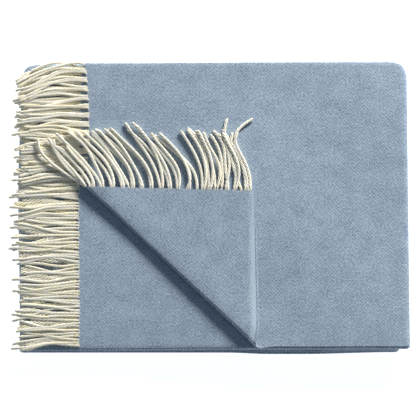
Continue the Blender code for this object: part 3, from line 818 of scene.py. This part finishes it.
def left_guides(layer, first, last, count, length, gathering, sweep, seed):
    """The guide lines of one layer's fringe at the left, in threes, waving and crossing a little."""
    luck = random.Random(seed)
    guides = []
    gap = (last - first) / (count - 1)
    for number in range(count):
        place = first + gap * number
        group_step = gap * gathering * (1 - number % 3)
        width = (BOTTOM_START + place - NEAR_CENTRE, MIDDLE_START + FAR_CENTRE - place, place)[layer]
        start = edge_at(width) + TUFT_INSIDE + luck.uniform(-0.0008, 0.0012)
        reach = length * (1.07 - 0.25 * luck.random())
        stray = luck.gauss(0, STRAY)
        shifts = [
            (wave, size * luck.uniform(0.5, 1.0), 90 * place + luck.uniform(-1.2, 1.2) + layer)
            for wave, size in WAVES
        ]
        crowding = (BOTTOM_CROWDING, MIDDLE_CROWDING * smooth((place - 0.02) / 0.03), 0.0)[layer]
        ride = crowding + luck.uniform(-0.0004, 0.0006)
        hump = luck.uniform(0.0, 0.0009) if number % 2 else 0.0
        guide = []
        for index in range(STRAND_POINTS):
            share = index / (STRAND_POINTS - 1)
            gone = reach * share
            free = smooth(share * 1.8)
            closeness = GROUP_ROOT + (1 - GROUP_ROOT) * smooth(gone / GROUP_CLOSEST)
            side = stray * share ** 1.4 + group_step * (closeness - smooth((gone - GROUP_END) / GROUP_FADE))
            for wave, size, turn_by in shifts:
                side += free * size * (math.sin(wave * gone + turn_by) - math.sin(turn_by) * (1 - free))
            for parting, half_width in PARTINGS:
                apart = place - parting
                push = half_width * math.exp(-abs(apart) / (2 * half_width)) * (1 if apart > 0 else -1)
                side += push * smooth(share * 3) if layer < 2 else 0.0
            crown = CROWN * math.sin(math.pi * share) * math.exp((place - last) / CROWN_REACH)
            bend = crown - sweep * share * share * math.exp((place - last) / SWEEP_REACH)
            height = CLOTH / 2 + TUFT_RISE * (1 - free) + (ride + hump * math.sin(math.pi * share)) * free
            base = 2 * STACK + layer * PITCH
            guide.append(left_point(start - gone, place + side + bend, base, height))
        guides.append(guide)
    return guides


top_guides = left_guides(
    layer=2, first=0.0350, last=0.2116, count=40, length=0.103, gathering=0.56, sweep=0.027, seed=21
)
top_fringe = twist_strands(
    "throw_fringe_top", "fringe_top", top_guides, luck_seed=31, close_shade=CLOSE_PAINTED_SHADE
)
middle_guides = left_guides(
    layer=1, first=-0.2150, last=0.2080, count=87, length=0.098, gathering=0.20, sweep=0.016, seed=52
)
middle_fringe = twist_strands(
    "throw_fringe_middle", "fringe_middle", middle_guides, luck_seed=32, close_shade=CLOSE_PAINTED_SHADE
)
bottom_guides = left_guides(
    layer=0, first=-0.2117, last=0.2047, count=84, length=0.088, gathering=0.0, sweep=0.010, seed=23
)
bottom_fringe = twist_strands(
    "throw_fringe_bottom", "fringe_bottom", bottom_guides,
    luck_seed=33, ply_radius=0.00140, ply_reach=0.00210, close_shade=CLOSE_PAINTED_SHADE
)

# The turned corner's fringe, lock by lock from the fold's left end: place of the root along the
# edge, strands in the lock, how far their tips lie to the left and out, and the bow of their run
CORNER_LOCKS = (
    (0.001, 1, 0.074, 0.070, -0.022),
    (0.003, 1, 0.058, 0.072, -0.015),
    (0.006, 1, 0.052, 0.070, -0.008),
    (0.012, 1, 0.066, 0.062, -0.004),
    (0.017, 2, 0.054, 0.061, 0.001),
    (0.030, 2, 0.061, 0.080, 0.002),
    (0.045, 2, 0.063, 0.084, 0.003),
    (0.060, 2, 0.067, 0.083, 0.003),
    (0.069, 1, 0.060, 0.078, 0.000),
    (0.075, 2, 0.057, 0.086, 0.004),
    (0.088, 2, 0.066, 0.087, 0.006),
    (0.102, 2, 0.064, 0.088, 0.008),
    (0.117, 2, 0.052, 0.096, 0.004),
    (0.130, 2, 0.056, 0.091, 0.006),
    (0.142, 2, 0.053, 0.086, 0.008),
    (0.157, 2, 0.050, 0.082, 0.012),
    (0.171, 1, 0.050, 0.078, 0.012),
    (0.180, 2, 0.030, 0.090, 0.007),
    (0.189, 2, 0.030, 0.090, 0.006),
    (0.199, 2, 0.031, 0.089, 0.005),
    (0.207, 1, 0.018, 0.084, 0.004),
    (0.214, 1, 0.006, 0.109, 0.002),
    (0.217, 1, 0.022, 0.088, 0.004),
    (0.227, 2, 0.026, 0.086, 0.008),
    (0.238, 1, 0.018, 0.086, -0.010),
    (0.243, 1, 0.030, 0.092, 0.006),
    (0.251, 1, 0.006, 0.109, -0.024),
    (0.247, 1, 0.017, 0.090, -0.009),
)
LATE_BEND_FROM = 0.245
CORNER_START = Vector((-0.1955, 0.0262))
NEAR_CORNER = Vector((TOP_EDGE[0][1], pulled(LEFT_FOLD, NEAR_EDGE)))
STRAND_STEP = 0.0032
TIP_SPREAD = 0.0070
TIP_LUCK = 0.0035
BOW_LUCK = 0.0030
SWAY_LUCK = 0.0030
ODD_RISE = 0.0016
TOP_FRINGE_RISE = 0.0014


def corner_guides(seed):
    """The guide lines of the turned corner's fringe, lying over the top layer and its fringe."""
    luck = random.Random(seed)
    ahead = (Vector(turn_corner(NEAR_CORNER.x, NEAR_CORNER.y, 0)[:2]) - CORNER_START).normalized()
    out = Vector((-ahead.y, ahead.x))
    guides = []
    for root, strands, tip_left, tip_out, bow in CORNER_LOCKS:
        for number in range(strands):
            spread = number - (strands - 1) / 2
            flat_y = TURN_LEFT.y - root - spread * STRAND_STEP
            x, y, level = turn_corner(edge_at(flat_y), flat_y, CLOTH / 2)
            lean = tip_left - spread * TIP_SPREAD + luck.gauss(0, TIP_LUCK)
            reach = tip_out * luck.uniform(0.99, 1.07)
            curve = bow + luck.gauss(0, BOW_LUCK)
            sway = luck.gauss(0, SWAY_LUCK)
            ride = luck.uniform(0.0, 0.0008) + (ODD_RISE if number % 2 else 0.0)
            guide = []
            for index in range(STRAND_POINTS):
                share = index / (STRAND_POINTS - 1)
                bend = share * share if root > LATE_BEND_FROM else share
                sideways = -lean * share ** 1.5 + curve * math.sin(math.pi * bend)
                sideways += sway * math.sin(2 * math.pi * share) * share
                plan = Vector((x, y)) + ahead * sideways + out * (share * reach - TUFT_INSIDE)
                over_fringe = TOP_FRINGE_RISE * smooth((edge_at(plan.y) - plan.x) / 0.010)
                rest = 2 * CLOTH + ride + over_fringe
                height = level + (rest - level) * smooth(share * 2.2) + TUFT_RISE * (1 - smooth(share * 6))
                base = 2 * STACK + step_up(plan.x) + 2 * PITCH
                guide.append(left_point(plan.x, plan.y, base, height))
            guides.append(guide)
    return guides


corner_fringe = twist_strands(
    "throw_fringe_corner", "fringe_corner", corner_guides(24),
    luck_seed=34, ply_radius=0.00142, ply_reach=0.00114
)

# The short end's fringe, hidden between the sections: the same yarn, twisted from two plies
FAR_PLIES = 2
FAR_STRANDS = 17
FAR_MARGIN = 0.008
FAR_LENGTH = 0.088
FAR_STRAY = 0.003
ROOT_INSIDE = 0.0012


def far_guides(layer, seed):
    """The guide lines of one layer's fringe at the short end, flat between the sections."""
    luck = random.Random(seed)
    guides = []
    gap = (FAR_EDGE - NEAR_EDGE - 2 * FAR_MARGIN) / (FAR_STRANDS - 1)
    z = 2 * STACK - LAYER_GAP - layer * PITCH - CLOTH / 2
    for number in range(FAR_STRANDS):
        place = NEAR_EDGE + FAR_MARGIN + number * gap
        reach = FAR_LENGTH * luck.uniform(0.92, 1.0)
        stray = luck.gauss(0, FAR_STRAY)
        guide = []
        for index in range(STRAND_POINTS // 2):
            share = index / (STRAND_POINTS // 2 - 1)
            side = stray * share * share
            guide.append(settle(SHORT_END + ROOT_INSIDE - reach * share, place + side, z))
        guides.append(guide)
    return guides


for layer, node in ((2, "fringe_far_top"), (1, "fringe_far_middle"), (0, "fringe_far_bottom")):
    guides = far_guides(layer, 40 + layer)
    twist_strands("throw_" + node, node, guides, luck_seed=layer, plies=FAR_PLIES)

# The floor: a plain board painted matt white, which lies just under the throw and reaches past
# every view. It is lit from within as well, so the throw's shadow on it stays pale.
FLOOR_DROP = 0.0004
FLOOR_REACH = 6.0
BOARD_WHITE = "#f4f4f2"
BOARD_LIGHT = "#ffffff"
floor_mesh = bpy.data.meshes.new("floor")
floor_form = bmesh.new()
bmesh.ops.create_grid(floor_form, x_segments=1, y_segments=1, size=FLOOR_REACH)
for vertex in floor_form.verts:
    vertex.co.z = -FLOOR_DROP
floor_form.to_mesh(floor_mesh)
floor_form.free()
floor = bpy.data.objects.new("floor", floor_mesh)
bpy.context.scene.collection.objects.link(floor)
board = bpy.data.materials.new("matt_white_board")
board.use_nodes = True
shader = board.node_tree.nodes["Principled BSDF"]
shader.inputs["Base Color"].default_value = linear(BOARD_WHITE)
shader.inputs["Roughness"].default_value = 0.95
shader.inputs["Emission Color"].default_value = linear(BOARD_LIGHT)
shader.inputs["Emission Strength"].default_value = 0.85
floor_mesh.materials.append(board)

# The light: one soft round lamp, low at the far right, which gives the long shadow beside the
# turned corner, and an even, pale blue surround that fills that shadow.
SURROUND_BLUE = "#cfe4fb"
world = bpy.data.worlds.new("studio_surround")
world.use_nodes = True
world.node_tree.nodes["Background"].inputs["Color"].default_value = linear(SURROUND_BLUE)
world.node_tree.nodes["Background"].inputs["Strength"].default_value = 0.22
bpy.context.scene.world = world

KEY_DISTANCE = 4.5
KEY_ELEVATION = math.radians(21)
KEY_BEARING = math.radians(62)
KEY_WIDTH = 1.2
KEY_POWER = 415
KEY_WARMTH = (1.0, 0.980, 0.950)
key_data = bpy.data.lights.new("key_light", "AREA")
key_data.shape = "DISK"
key_data.size = KEY_WIDTH
key_data.energy = KEY_POWER
key_data.color = KEY_WARMTH
key = bpy.data.objects.new("key_light", key_data)
key_way = Vector((
    math.cos(KEY_ELEVATION) * math.cos(KEY_BEARING),
    math.cos(KEY_ELEVATION) * math.sin(KEY_BEARING),
    math.sin(KEY_ELEVATION),
))
key.location = key_way * KEY_DISTANCE
key.rotation_euler = key_way.to_track_quat("Z", "Y").to_euler()
bpy.context.scene.collection.objects.link(key)

# The camera: nearly overhead with a long lens, as the photograph was taken. FRAME_WIDTH is how much
# of the throw's plane the picture spans.
CAMERA_ELEVATION = math.radians(80)
CAMERA_DISTANCE = 7.0
FRAME_WIDTH = 0.624
AIM = Vector((-0.0100, -0.0085, 0.030))
camera_data = bpy.data.cameras.new("camera")
camera_data.sensor_width = 36
camera_data.lens = camera_data.sensor_width * CAMERA_DISTANCE / FRAME_WIDTH
camera_data.clip_end = 20
camera = bpy.data.objects.new("camera", camera_data)
camera_way = Vector((0, -math.cos(CAMERA_ELEVATION), math.sin(CAMERA_ELEVATION)))
camera.location = AIM + camera_way * CAMERA_DISTANCE
camera.rotation_euler = camera_way.to_track_quat("Z", "Y").to_euler()
bpy.context.scene.collection.objects.link(camera)
bpy.context.scene.camera = camera
bpy.context.scene.view_settings.view_transform = "Standard"
